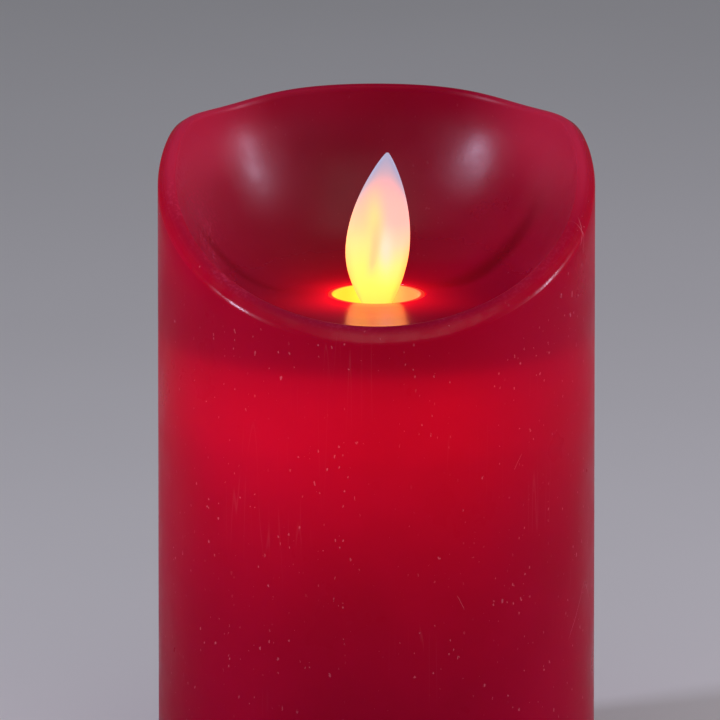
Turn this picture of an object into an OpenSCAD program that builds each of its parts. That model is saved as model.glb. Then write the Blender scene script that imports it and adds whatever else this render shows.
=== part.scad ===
// Flameless LED candle with a swinging flame leaf.
// Origin: centre of the footprint on the table, +Z up, -Y is the low front of the rim.

/* [Wax] */
// Outer diameter of the candle
candle_d = 80; // [78:0.5:84]
// Height from the table to the highest point of the rim
candle_h = 125; // [120:1:150]
// Thickness of the wax wall round the hollow
wax_wall = 5; // [4.8:0.1:5.2]
// Thickness of the wax under the bowl
wax_floor = 5.4; // [5:0.1:6]

/* [Bowl] */
// Depth from the highest point of the rim to the bowl's floor
bowl_depth = 31; // [24:1:34]
// Width of the rim band
rim_w = 3.3; // [2.5:0.1:4]
// Diameter of the hole in the floor
hole_d = 18; // [17.9:0.1:19]
// Number of facets round the bowl
bowl_steps = 72; // [48:12:96]

/* [Flame] */
// Height of the leaf's tip above the bowl's floor
flame_h = 26.3; // [20:0.1:27]
// Greatest width of the leaf
flame_w = 11.7; // [9:0.1:12]
// How far the tip leans to one side
flame_lean = 2; // [0:0.1:2.5]
// Thickness of the leaf
leaf_t = 1; // [0.8:0.1:1.2]

/* [Base] */
// Height of the feet
foot_h = 1.5; // [1:0.1:2]
// Switch position: 0 on, 1 off, 2 timer
switch_pos = 0; // [0:1:2]

/* [Hidden] */
$fn = 64;

// Bowl and rim
candle_r = candle_d / 2;
floor_z = candle_h - bowl_depth;
rim_in_r = candle_r - rim_w;
rim_crown = 0.25;
rim_tilt_front = 2.5;
rim_tilt_back = 0.5;
rim_front = -0.5;
rim_rise = bowl_depth - rim_crown - rim_tilt_back - rim_front;
shoulder_dip = 1.2;
hollow_top = floor_z - wax_floor;
hollow_r = candle_r - wax_wall;
foot_chamfer = 0.8;

// Radius of the holes that 2.5 mm screws cut their thread in
pilot_r = 1.27;

// Mechanism column, from the deck up to the collar
collar_flange_t = 1.2;
column_top = hollow_top - collar_flange_t;
pivot_z = floor_z - 13;
column_x = 15;
column_y = 15;
column_wall = 1.5;
column_hole_r = 10;
deck_top = 31;
deck_t = 1.5;
shelf_z = pivot_z - 29.5;
shelf_t = 1.5;
coil_h = 10;
coil_r = 10;
coil_drum_r = 4;
coil_flange_t = 1.2;
ear_x = 17.5;
ear_zs = [deck_top + 14, pivot_z - 3];
ear_r = 3;
ear_y = 4;
foot_boss = 11;

// Leaf and wire
wire_d = 0.5;
wire_half = 14.3;
seat_d = 0.6;
leaf_hole_d = 0.9;
neck_hw = 2.3;
cup_h = 4;
belly_z = floor_z + 8.4;
leaf_tip_z = floor_z + flame_h;
dish_r = 14;
magnet_d = 6;
magnet_h = 4;
magnet_top = pivot_z - 12.2;

// Light-emitting diodes
led_tip = [4.5, -7, pivot_z - 2];
led_aim = [0, 0, floor_z + 11];
led_len = 8.6;
led_r = 2.5;

// Base
plate_r = candle_r - wax_wall - 0.3;
plate_t = 2;
plate_top = foot_h + plate_t;
housing_wall = 1.5;
cell_d = 14.5;
cell_len = 50.2;
cell_y = 7.4;
cell_z = plate_top + 7.9;
tray_x = 28;
tray_y = 16.5;
tray_wall = 1.2;
tray_top = plate_top + 16.5;
tray_end = tray_x - tray_wall;
contact_t = 0.4;
spring_wire = 0.6;
lead_gap = 0.2;
door_x = 26.8;
door_y = 15;
door_gap = 0.3;
hook_x = 16;
base_screw_xy = [[-30.9, 0], [30.9, 0], [0, -27]];
board_z = 23.5;
board_t = 1.6;
board_x = 26;
board_y = 19;
board_screw_xy = [[-21, 14], [21, 14], [0, -16]];
foot_x = 21;
foot_y = 21.5;
foot_r = 4;
switch_y = 25.5;
switch_step = 2;

// ---- Shared functions -------------------------------------------------------

// Share of the way from front (0) to back (1) at angle a from the front.
function back_share(a) = (1 - cos(a)) / 2;

// Smaller of two values, with a smooth change-over of width k.
function smooth_min(a, b, k) = -k * ln(exp(-a / k) + exp(-b / k));

// Height of the rim's outer edge above the bowl's floor at angle a from the front.
function rim_out(a) =
    let (u = back_share(a))
    let (side = abs(a > 180 ? 360 - a : a))
    let (dip = shoulder_dip * exp(-pow((side - 133) / 18, 2)))
    rim_front + rim_rise * smooth_min(1.38 * u, 0.86 + 0.14 * u, 0.04) - dip;

// Height of the rim's inner edge above the bowl's floor.
function rim_in(a) =
    rim_out(a) + rim_tilt_front + (rim_tilt_back - rim_tilt_front) * back_share(a);

// Height of the bowl's surface at radius share t, where 1 is the rim's inner edge.
function bowl_rise(a, t) =
    rim_in(a) * (1 - pow(1 - t * t, 0.95 - 0.42 * back_share(a)));

// Radius at which the bowl starts to rise.
function flat_r(a) = 12 + 14 * pow(1 - back_share(a), 1.5);

// One profile of the cutter at angle a: [radius, height] pairs from the centre outward.
function bowl_profile(a) =
    let (r0 = flat_r(a))
    let (top = rim_in(a))
    let (edge = rim_out(a))
    concat(
        [[4, 0]],
        [for (t = [0, 0.25, 0.45, 0.6, 0.72, 0.82, 0.9, 0.95, 0.98, 1])
            [r0 + (rim_in_r - r0) * t, bowl_rise(a, t)]],
        [
            [rim_in_r + 0.35, top + 0.75 * rim_crown],
            [rim_in_r + 0.9, top + rim_crown],
            [rim_in_r + 1.7, top + rim_crown - 0.18 * (top + rim_crown - edge)],
            [rim_in_r + 2.5, edge + 0.46 * (top + rim_crown - edge)],
            [rim_in_r + 3.05, edge + 0.12 * (top + rim_crown - edge) + 0.15],
            [candle_r + 0.05, edge],
            [candle_r + 2, edge - 5]
        ]
    );

// Points on a smooth curve through the corners of a route.
function catmull(p, i, t) =
    let (a = p[max(i - 1, 0)])
    let (b = p[i])
    let (c = p[i + 1])
    let (d = p[min(i + 2, len(p) - 1)])
    0.5 * (2 * b + (c - a) * t + (2 * a - 5 * b + 4 * c - d) * t * t
        + (3 * b - a - 3 * c + d) * t * t * t);
function smooth_route(p, n) = concat(
    [for (i = [0:len(p) - 2]) for (k = [0:n - 1]) catmull(p, i, k / n)],
    [p[len(p) - 1]]
);

function unit(v) = v / norm(v);

// A round tube swept along points, each ring square to the route.
module swept_tube(path, d, sides = 8) {
    n = len(path);
    dirs = [for (i = [0:n - 1]) unit(path[min(i + 1, n - 1)] - path[max(i - 1, 0)])];
    ref = [0.13, 0.31, 0.94];
    rings = [for (i = [0:n - 1])
        let (u = unit(cross(dirs[i], ref)))
        let (v = cross(dirs[i], u))
        [for (s = [0:sides - 1])
            let (turn = 360 * s / sides)
            path[i] + d / 2 * (u * cos(turn) + v * sin(turn))]];
    points = [for (ring = rings) each ring];
    walls = [for (i = [0:n - 2]) for (s = [0:sides - 1])
        let (a = i * sides + s)
        let (b = i * sides + (s + 1) % sides)
        each [[a, a + sides, b], [b, a + sides, b + sides]]];
    start_cap = [[for (s = [0:sides - 1]) s]];
    end_cap = [[for (s = [sides - 1:-1:0]) (n - 1) * sides + s]];
    polyhedron(points, concat(start_cap, walls, end_cap));
}

// A lead that runs through the given points.
module lead(route, d) {
    swept_tube(smooth_route(route, 5), d);
}

// Pan-head screw, head down, shank up, its head's seat at z = 0.
module screw_up(len, shank_d, head_d, head_h) {
    difference() {
        union() {
            translate([0, 0, -head_h]) cylinder(h = head_h, d = head_d);
            cylinder(h = len, d = shank_d);
        }
        for (a = [0, 90]) rotate(a) translate([-head_d * 0.3, -0.3, -head_h - 0.1])
            cube([head_d * 0.6, 0.6, head_h * 0.6]);
    }
}

// Everything on one side of the plane Y = 0: side is -1 for the front or 1 for the rear.
module half_space(side) {
    translate([-50, side < 0 ? -100 : 0, 0]) cube([100, 100, 200]);
}

// ---- Wax and flame ----------------------------------------------------------

// Solid that removes everything above the bowl and rim.
module bowl_cutter() {
    n = bowl_steps;
    profiles = [for (i = [0:n - 1]) bowl_profile(360 * i / n)];
    m = len(profiles[0]);
    top = candle_h + 5;
    rings = [for (i = [0:n - 1]) for (j = [0:m - 1])
        let (a = 360 * i / n)
        let (p = profiles[i][j])
        [p[0] * sin(a), -p[0] * cos(a), floor_z + p[1]]];
    roof = [for (i = [0:n - 1])
        let (a = 360 * i / n)
        [(candle_r + 2) * sin(a), -(candle_r + 2) * cos(a), top]];
    points = concat(rings, roof);
    roof_at = n * m;
    skin = [for (i = [0:n - 1]) for (j = [0:m - 2])
        let (k = (i + 1) % n)
        each [
            [i * m + j, i * m + j + 1, k * m + j],
            [k * m + j, i * m + j + 1, k * m + j + 1]
        ]];
    floor_cap = [[for (i = [0:n - 1]) i * m]];
    side = [for (i = [0:n - 1])
        let (k = (i + 1) % n)
        each [
            [i * m + m - 1, roof_at + i, k * m + m - 1],
            [k * m + m - 1, roof_at + i, roof_at + k]
        ]];
    roof_cap = [[for (i = [n - 1:-1:0]) roof_at + i]];
    polyhedron(points, concat(floor_cap, skin, side, roof_cap));
}

module wax_shell() {
    color([0.62, 0.04, 0.09]) difference() {
        rotate_extrude($fn = 180) polygon([
            [0, foot_h], [candle_r - foot_chamfer, foot_h],
            [candle_r, foot_h + foot_chamfer], [candle_r, candle_h + 1], [0, candle_h + 1]
        ]);
        bowl_cutter();
        translate([0, 0, -1]) cylinder(h = hollow_top + 1, r = hollow_r);
        cylinder(h = candle_h, d = hole_d);
    }
}

module flame_collar() {
    collar_r = hole_d / 2 - 0.2;
    bore_r = 7.8;
    color([0.97, 0.93, 0.84]) rotate_extrude() polygon([
        [bore_r, floor_z - 0.5], [bore_r + 0.3, floor_z - 0.2], [collar_r, floor_z - 0.2],
        [collar_r, hollow_top], [collar_r + 4, hollow_top],
        [collar_r + 4, column_top], [bore_r + 1, column_top], [bore_r, column_top + 2]
    ]);
}

// Half width of the leaf at height z.
function leaf_half(z) = z > belly_z
    ? flame_w / 2 * pow(cos(90 * (z - belly_z) / (leaf_tip_z + 0.3 - belly_z)), 0.79)
    : neck_hw + (flame_w / 2 - neck_hw) * pow(cos(90 * min(1, (belly_z - z) / 11)), 0.85);

// Sideways lean of the leaf's centre line at height z.
function leaf_lean(z) = flame_lean
    * pow(max(0, z - floor_z - 4) / (flame_h - 4), 1.35);

module flame_outline() {
    low = pivot_z;
    steps = 36;
    zs = [for (i = [0:steps]) low + (leaf_tip_z - low) * sin(90 * i / steps)];
    polygon(concat(
        [for (z = zs) [leaf_lean(z) - leaf_half(z), z]],
        [for (i = [steps:-1:0]) [leaf_lean(zs[i]) + leaf_half(zs[i]), zs[i]]]
    ));
}

module flame_leaf() {
    cup_r = magnet_d / 2 + 0.8;
    color([1, 0.93, 0.75]) difference() {
        union() {
            intersection() {
                rotate([90, 0, 0]) linear_extrude(height = 8, center = true) flame_outline();
                difference() {
                    translate([0, dish_r - leaf_t / 2, pivot_z]) cylinder(h = 50, r = dish_r);
                    translate([0, dish_r - leaf_t / 2, pivot_z - 1])
                        cylinder(h = 60, r = dish_r - leaf_t);
                }
            }
            translate([0, 0, pivot_z]) rotate([90, 0, 0])
                cylinder(h = leaf_t + 0.4, r = neck_hw, center = true);
            translate([-neck_hw, -leaf_t / 2 - 0.2, magnet_top + 1])
                cube([2 * neck_hw, leaf_t + 0.4, pivot_z - magnet_top - 1]);
            translate([0, 0, magnet_top - cup_h + 1.5]) cylinder(h = cup_h, r = cup_r);
        }
        translate([0, 0, magnet_top - 10]) cylinder(h = 10, d = magnet_d + 0.04);
        translate([0, 0, pivot_z]) rotate([90, 0, 0])
            cylinder(h = 8, d = leaf_hole_d, center = true, $fn = 32);
    }
}

module flame_magnet() {
    color([0.75, 0.76, 0.78]) translate([0, 0, magnet_top - magnet_h])
        cylinder(h = magnet_h, d = magnet_d);
}

module pivot_wire() {
    color([0.7, 0.7, 0.72]) translate([0, 0, pivot_z]) rotate([90, 0, 0])
        cylinder(h = 2 * wire_half, d = wire_d, center = true, $fn = 32);
}

// ---- Mechanism column -------------------------------------------------------

// Whole column before it is split into front and rear halves.
module column_whole() {
    inner_x = column_x - column_wall;
    inner_y = column_y - column_wall;
    lower = deck_top + column_wall;
    upper = shelf_z + shelf_t;
    difference() {
        union() {
            translate([-column_x, -column_y, deck_top])
                cube([2 * column_x, 2 * column_y, column_top - deck_top]);
            for (x = [-ear_x, ear_x]) for (z = ear_zs) {
                translate([x, 0, z]) rotate([90, 0, 0])
                    cylinder(h = 2 * ear_y, r = ear_r, center = true);
                translate([x > 0 ? column_x - 1 : -ear_x, -ear_y, z - ear_r])
                    cube([ear_x - column_x + 1, 2 * ear_y, 2 * ear_r]);
            }
        }
        difference() {
            translate([-inner_x, -inner_y, lower])
                cube([2 * inner_x, 2 * inner_y, shelf_z - lower]);
            for (x = [-foot_boss, foot_boss]) for (y = [-foot_boss, foot_boss])
                translate([x - 2.5, y - 2.5, deck_top]) cube([5, 5, 9]);
        }
        translate([-inner_x, -inner_y, upper])
            cube([2 * inner_x, 2 * inner_y, column_top - column_wall - upper]);
        translate([0, 0, column_top - 5]) cylinder(h = 10, r = column_hole_r);
        translate([0, 0, shelf_z - 1]) cylinder(h = 5, r = 2.5);
        translate([-2, -12.5, shelf_z - 1]) cube([4, 3, 5]);
        translate([0, 0, deck_top - 1]) cylinder(h = 5, r = 5);
        for (x = [-foot_boss, foot_boss]) for (y = [-foot_boss, foot_boss])
            translate([x, y, deck_top - 1]) cylinder(h = 9, r = pilot_r);
        for (x = [-ear_x, ear_x]) for (z = ear_zs)
            translate([x, 0, z]) rotate([90, 0, 0]) cylinder(h = 20, r = pilot_r, center = true);
        translate([0, 0, pivot_z]) rotate([90, 0, 0])
            cylinder(h = 2 * wire_half + 0.2, d = seat_d, center = true, $fn = 32);
    }
}

module column_half(side) {
    intersection() {
        column_whole();
        half_space(side);
    }
}

module column_front() {
    color([0.93, 0.92, 0.88]) column_half(-1);
}

module column_rear() {
    color([0.93, 0.92, 0.88]) column_half(1);
}

module column_screws() {
    color([0.6, 0.6, 0.62]) for (x = [-ear_x, ear_x]) for (z = ear_zs)
        translate([x, -ear_y, z]) rotate([-90, 0, 0]) screw_up(7, 2.5, 4.4, 1.6);
}

module deck_screws() {
    color([0.6, 0.6, 0.62]) for (x = [-foot_boss, foot_boss]) for (y = [-foot_boss, foot_boss])
        translate([x, y, deck_top - deck_t]) screw_up(8, 2.5, 4.4, 1.6);
}

module coil_bobbin() {
    low = shelf_z + shelf_t;
    high = low + coil_h;
    color([0.2, 0.2, 0.22]) rotate_extrude() polygon([
        [2.5, low], [coil_r, low], [coil_r, low + coil_flange_t],
        [coil_drum_r, low + coil_flange_t], [coil_drum_r, high - coil_flange_t],
        [coil_r, high - coil_flange_t], [coil_r, high], [2.5, high]
    ]);
}

module coil_winding() {
    low = shelf_z + shelf_t + coil_flange_t;
    h = coil_h - 2 * coil_flange_t;
    grooves = 6;
    color([0.72, 0.4, 0.18]) rotate_extrude() difference() {
        translate([coil_drum_r, low]) square([4.8, h]);
        for (i = [0:grooves]) translate([9, low + h * i / grooves]) circle(r = 0.4, $fn = 16);
    }
}

// Places its children on the axis of one diode, tip at z = 0, side is -1 or 1.
module on_led_axis(side) {
    tip = [side * led_tip[0], led_tip[1], led_tip[2]];
    dir = unit(led_aim - tip);
    translate(tip) rotate([0, acos(dir[2]), atan2(dir[1], dir[0])]) children();
}

module led_bracket() {
    inner_y = column_y - column_wall;
    plate_z = led_tip[2] - 6.2;
    color([0.15, 0.15, 0.17]) difference() {
        union() {
            translate([-10, -inner_y, plate_z]) cube([20, 8.5, 2.8]);
            translate([-10, -inner_y, plate_z]) cube([20, 1, 7.7]);
        }
        for (side = [-1, 1]) on_led_axis(side)
            rotate(90) translate([0, 0, -16]) cylinder(h = 16, r = led_r + 0.05);
    }
}

module led_body(side) {
    on_led_axis(side) {
        rotate_extrude() union() {
            translate([0, -led_len]) square([led_r, led_len - led_r]);
            translate([0, -led_len]) square([led_r + 0.4, 1]);
            intersection() {
                translate([0, -led_r]) circle(r = led_r);
                translate([0, -led_r]) square([led_r, led_r]);
            }
        }
        for (x = [-1.27, 1.27]) translate([x - 0.25, -0.25, -led_len - 3]) cube([0.5, 0.5, 3]);
    }
}

module led_left() {
    color([0.95, 0.9, 0.7]) led_body(-1);
}

module led_right() {
    color([0.95, 0.9, 0.7]) led_body(1);
}

// ---- Base -------------------------------------------------------------------

module base_housing() {
    inner_r = plate_r - housing_wall;
    deck_z = deck_top - deck_t;
    color([0.12, 0.12, 0.13]) difference() {
        union() {
            difference() {
                translate([0, 0, plate_top]) cylinder(h = deck_top - plate_top, r = plate_r);
                translate([0, 0, plate_top - 1]) cylinder(h = deck_z - plate_top + 1, r = inner_r);
            }
            intersection() {
                for (p = base_screw_xy) translate([p[0], p[1], plate_top])
                    cylinder(h = deck_z - plate_top + 0.5, r = 2.6);
                translate([0, 0, plate_top]) cylinder(h = 60, r = inner_r + 0.5);
            }
            for (p = board_screw_xy) translate([p[0], p[1], board_z + board_t])
                cylinder(h = deck_z - board_z - board_t + 0.5, r = 2.5);
        }
        for (p = base_screw_xy) translate([p[0], p[1], plate_top - 1])
            cylinder(h = 10, r = pilot_r);
        for (p = board_screw_xy) translate([p[0], p[1], board_z]) cylinder(h = 5.6, r = 1.02);
        for (x = [-foot_boss, foot_boss]) for (y = [-foot_boss, foot_boss])
            translate([x, y, deck_z - 1]) cylinder(h = 5, r = 1.4);
        translate([0, 0, deck_z - 1]) cylinder(h = 5, r = 5);
    }
}

module circuit_board() {
    color([0.06, 0.3, 0.16]) difference() {
        translate([-board_x, -board_y, board_z]) cube([2 * board_x, 2 * board_y, board_t]);
        for (p = board_screw_xy) translate([p[0], p[1], board_z - 1])
            cylinder(h = 5, r = 1.15);
    }
}

module control_chip() {
    top = board_z + board_t;
    color([0.08, 0.08, 0.09]) {
        translate([-15, -2, top + 0.3]) cube([9, 6, 1.6]);
        for (y = [-3.2, 4]) for (i = [0:6]) translate([-14.6 + 1.27 * i, y, top])
            cube([0.5, 1.2, 0.7]);
    }
}

module capacitor() {
    color([0.1, 0.12, 0.3]) translate([16, 2, board_z + board_t + 2.1]) rotate([0, 90, 90])
        cylinder(h = 8, r = 2.1, center = true);
}

module resistors() {
    top = board_z + board_t;
    color([0.75, 0.62, 0.42]) for (i = [0:3]) translate([-16 + 5 * i, -10, top])
        cube([3.2, 1.6, 0.6]);
}

module board_screws() {
    color([0.6, 0.6, 0.62]) for (p = board_screw_xy) translate([p[0], p[1], board_z])
        screw_up(5, 2, 3.8, 1.4);
}

module battery_tray() {
    inner_y = tray_y - tray_wall;
    color([0.14, 0.14, 0.15]) difference() {
        translate([-tray_x, -tray_y, plate_top])
            cube([2 * tray_x, 2 * tray_y, tray_top - plate_top]);
        translate([-tray_end, -inner_y, plate_top - 1])
            cube([2 * tray_end, 2 * inner_y, tray_top - tray_wall - plate_top + 1]);
        for (x = [-hook_x, hook_x]) translate([x - 5, -tray_y - 1, plate_top - 1])
            cube([10, 4, 5.5]);
        for (y = [-cell_y, cell_y]) translate([-tray_end, y - 1.7, tray_top - 3])
            cube([0.8, 3.4, 6]);
    }
}

// One AA cell on its side: its nub points along +X when way is 1.
module cell(y, way) {
    nub = 1;
    rim = 0.6;
    translate([way * 0.9, y, cell_z]) rotate([0, way * 90, 0]) rotate_extrude() polygon([
        [0, -cell_len / 2], [cell_d / 2 - rim, -cell_len / 2],
        [cell_d / 2, -cell_len / 2 + rim], [cell_d / 2, cell_len / 2 - nub - rim],
        [cell_d / 2 - rim, cell_len / 2 - nub], [2.7, cell_len / 2 - nub],
        [2.7, cell_len / 2], [0, cell_len / 2]
    ]);
}

module battery_front() {
    color([0.16, 0.16, 0.18]) cell(-cell_y, 1);
}

module battery_rear() {
    color([0.16, 0.16, 0.18]) cell(cell_y, -1);
}

// Conical contact spring that starts at x and reaches to x + way * length.
module contact_spring(x, y, way, length) {
    turns = 2.5;
    path = [for (i = [0:30])
        let (s = i / 30)
        let (r = 4 - 1.6 * s)
        [x + way * (spring_wire / 2 + (length - spring_wire) * s),
            y + r * cos(360 * turns * s), cell_z + r * sin(360 * turns * s)]];
    swept_tube(path, spring_wire);
}

// Flat contact against an end wall, with a solder tab up through the tray's top.
module contact_plate(side, y, tab) {
    x = side > 0 ? tray_end - contact_t : -tray_end;
    translate([x, y - 4.5, cell_z - 4.5]) cube([contact_t, 9, 9]);
    if (tab) translate([x, y - 1.5, cell_z + 4]) cube([contact_t, 3, tray_top + 1 - cell_z - 4]);
}

// Pressed bump that meets a cell's nub.
module contact_bump(side, y) {
    translate([side * (tray_end - contact_t + 0.1), y, cell_z]) rotate([0, -side * 90, 0])
        cylinder(h = 0.5, r1 = 2.6, r2 = 2);
}

module positive_contact() {
    color([0.78, 0.76, 0.7]) {
        contact_plate(-1, cell_y, true);
        contact_bump(-1, cell_y);
    }
}

module negative_contact() {
    color([0.78, 0.76, 0.7]) {
        contact_plate(-1, -cell_y, true);
        contact_spring(-tray_end + contact_t - 0.1, -cell_y, 1, 2.3);
    }
}

module bridge_contact() {
    color([0.78, 0.76, 0.7]) {
        contact_plate(1, -cell_y, false);
        contact_plate(1, cell_y, false);
        translate([tray_end - contact_t, -3, cell_z - 2]) cube([contact_t, 6, 4]);
        contact_bump(1, -cell_y);
        contact_spring(tray_end - contact_t + 0.1, cell_y, -1, 2.3);
    }
}

module base_plate() {
    slot_x = 3 * switch_step + 2.1;
    color([0.1, 0.1, 0.11]) difference() {
        translate([0, 0, foot_h]) cylinder(h = plate_t, r = plate_r);
        translate([-door_x - door_gap, -door_y - door_gap, foot_h - 1])
            cube([2 * (door_x + door_gap), 2 * (door_y + door_gap), plate_t + 2]);
        for (p = base_screw_xy) translate([p[0], p[1], foot_h - 1]) {
            cylinder(h = 5, r = 1.4);
            cylinder(h = 1.9, r = 2.5);
        }
        translate([-slot_x / 2, switch_y - 2.3, foot_h - 1]) cube([slot_x, 4.6, 5]);
    }
}

module base_screws() {
    color([0.6, 0.6, 0.62]) for (p = base_screw_xy) translate([p[0], p[1], foot_h + 0.9])
        screw_up(9, 2.5, 4.6, 0.9);
}

module battery_door() {
    hook_w = 8;
    color([0.1, 0.1, 0.11]) difference() {
        union() {
            translate([-door_x, -door_y, foot_h]) cube([2 * door_x, 2 * door_y, plate_t]);
            for (x = [-hook_x, hook_x]) {
                translate([x - hook_w / 2, -door_y, plate_top - 0.2]) cube([hook_w, 1.4, 1.3]);
                translate([x - hook_w / 2, -door_y - 2.3, plate_top + 0.1]) cube([hook_w, 3, 1]);
            }
            translate([-5, door_y - 1.7, plate_top - 0.2]) cube([10, 1.1, 3.2]);
        }
        translate([-6, door_y - 5, foot_h - 1]) cube([12, 1.5, 1.8]);
        for (i = [0:2]) translate([-6, door_y - 8 - 2 * i, foot_h - 1]) cube([12, 0.8, 1.5]);
    }
}

module feet() {
    color([0.2, 0.2, 0.2]) for (x = [-foot_x, foot_x]) for (y = [-foot_y, foot_y])
        translate([x, y, 0]) rotate_extrude() polygon([
            [0, 0], [foot_r - 0.4, 0], [foot_r, 0.4], [foot_r, foot_h], [0, foot_h]
        ]);
}

module switch_housing() {
    color([0.3, 0.3, 0.32]) difference() {
        translate([-6.5, switch_y - 3, plate_top]) cube([13, 6, 6]);
        translate([-3.4, switch_y - 1.1, plate_top - 1]) cube([6.8, 2.2, 3.5]);
    }
}

module switch_knob() {
    x = (switch_pos - 1) * switch_step;
    color([0.85, 0.85, 0.85]) {
        difference() {
            translate([x - 1.7, switch_y - 2, foot_h - 1]) cube([3.4, 4, plate_t + 0.8]);
            for (i = [-1:1]) translate([x - 0.25 + i, switch_y - 3, foot_h - 1.2])
                cube([0.5, 6, 0.6]);
        }
        translate([x - 0.8, switch_y - 0.8, plate_top - 0.4]) cube([1.6, 1.6, 2.4]);
    }
}

// ---- Leads inside the base and column ---------------------------------------

module battery_lead_red() {
    color([0.7, 0.06, 0.05]) lead([
        [-25.7, 7.4, 20.7], [-24.4, 8, 21.4], [-20, 6, 21.9], [-15, 3, 21.9], [-12, 2, 22.4],
        [-11.5, 2, board_z - lead_gap]
    ], 1.1);
}

module battery_lead_black() {
    color([0.05, 0.05, 0.06]) lead([
        [-25.7, -7.4, 20.7], [-24.4, -8, 21.4], [-20, -6, 21.9], [-15, -3, 21.9],
        [-12, -2, 22.4], [-11.5, -2, board_z - lead_gap]
    ], 1.1);
}

module switch_leads() {
    color([0.75, 0.75, 0.72]) for (x = [-3, 0, 3]) lead([
        [x, 25.5, 9.7], [x, 25.6, 12], [x, 24.6, 16], [x, 23.2, 20], [x, 21.6, 24.5],
        [x, 19.6, 27], [x, 17.6, 27.2], [x, 17, board_z + board_t + lead_gap]
    ], 1);
}

module coil_leads() {
    top = shelf_z + shelf_t;
    color([0.72, 0.4, 0.18]) for (x = [-1.2, 1.2]) lead([
        [x, 0, top], [x, 0.4, 46], [1.4 * x, 1, 40], [x, 0.5, 34], [x, 0, 29],
        [x, 0, board_z + board_t + lead_gap]
    ], 0.6);
}

module led_leads() {
    color([0.9, 0.88, 0.8]) for (side = [-1, 1]) lead([
        [side * 6.2, -10.6, 65.2], [side * 5.4, -10.8, 62], [side * 1.6, -11.2, 57],
        [side * 0.9, -11.1, 52], [side * 0.9, -9.5, 46], [side * 2.6, -4, 38],
        [side * 3, -2.4, 32], [side * 3, -2.6, 28],
        [side * 3, -2.7, board_z + board_t + lead_gap]
    ], 1);
}

wax_shell();
flame_collar();
flame_leaf();
flame_magnet();
pivot_wire();
column_front();
column_rear();
column_screws();
deck_screws();
coil_bobbin();
coil_winding();
led_bracket();
led_left();
led_right();
base_housing();
circuit_board();
control_chip();
capacitor();
resistors();
board_screws();
battery_tray();
battery_front();
battery_rear();
positive_contact();
negative_contact();
bridge_contact();
base_plate();
base_screws();
battery_door();
feet();
switch_housing();
switch_knob();
battery_lead_red();
battery_lead_black();
switch_leads();
coil_leads();
led_leads();
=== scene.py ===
"""Looks of the flameless LED candle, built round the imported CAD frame. Metres, +Z up, -Y is the front."""

import math

import bmesh
import bpy
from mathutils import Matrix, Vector


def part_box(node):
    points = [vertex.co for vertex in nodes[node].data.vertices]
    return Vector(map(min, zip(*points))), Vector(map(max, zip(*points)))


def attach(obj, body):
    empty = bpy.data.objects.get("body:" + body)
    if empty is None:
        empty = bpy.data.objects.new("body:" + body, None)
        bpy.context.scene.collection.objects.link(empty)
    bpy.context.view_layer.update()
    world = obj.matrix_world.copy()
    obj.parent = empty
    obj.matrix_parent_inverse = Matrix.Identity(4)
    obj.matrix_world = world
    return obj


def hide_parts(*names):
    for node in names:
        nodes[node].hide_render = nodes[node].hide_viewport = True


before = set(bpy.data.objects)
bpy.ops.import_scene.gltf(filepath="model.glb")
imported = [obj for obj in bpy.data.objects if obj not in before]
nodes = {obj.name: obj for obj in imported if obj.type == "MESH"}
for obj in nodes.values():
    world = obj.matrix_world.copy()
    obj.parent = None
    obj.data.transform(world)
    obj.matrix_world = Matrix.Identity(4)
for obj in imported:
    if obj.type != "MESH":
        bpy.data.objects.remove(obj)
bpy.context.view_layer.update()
MM = 0.001

# ---- Sizes, from the frame --------------------------------------------------

wax_lo, wax_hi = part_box("wax_shell")
collar_lo, collar_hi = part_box("flame_collar")
_, leaf_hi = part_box("flame_leaf")

CANDLE_R = (wax_hi.x - wax_lo.x) / 2
CANDLE_TOP = wax_hi.z
WAX_FOOT = wax_lo.z
WALL_T = 5 * MM
BOWL_FLOOR_T = 5.4 * MM
COLLAR_SINK = 0.2 * MM
PIVOT_DEPTH = 13 * MM
FLOOR_Z = collar_hi.z + COLLAR_SINK
BOWL_DEPTH = CANDLE_TOP - FLOOR_Z
RIM_W = 3.3 * MM
RIM_IN_R = CANDLE_R - RIM_W
RIM_CROWN = 0.25 * MM
RIM_TILT_FRONT = 2.5 * MM
RIM_TILT_BACK = 0.5 * MM
RIM_FRONT = -0.5 * MM
RIM_RISE = BOWL_DEPTH - RIM_CROWN - RIM_TILT_BACK - RIM_FRONT
RIM_SLOPE = 1.38
RIM_LEVEL = 0.86
RIM_BEND = 0.04
SHOULDER_DIP = 1.2 * MM
SHOULDER_AT = 133
SHOULDER_SPREAD = 18
HOLE_LIP = 0.35 * MM
HOLE_R = 9 * MM
HOLLOW_R = CANDLE_R - WALL_T
HOLLOW_TOP = FLOOR_Z - BOWL_FLOOR_T
PIVOT_Z = FLOOR_Z - PIVOT_DEPTH

# ---- Camera, lights and floor -----------------------------------------------

CAM_ELEVATION = math.radians(13)
CAM_DISTANCE = 4.0
FRAME_WIDTH = 0.1318
VIEW_SIDE = -3.0 * MM
VIEW_DROP = 12.3 * MM


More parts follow.
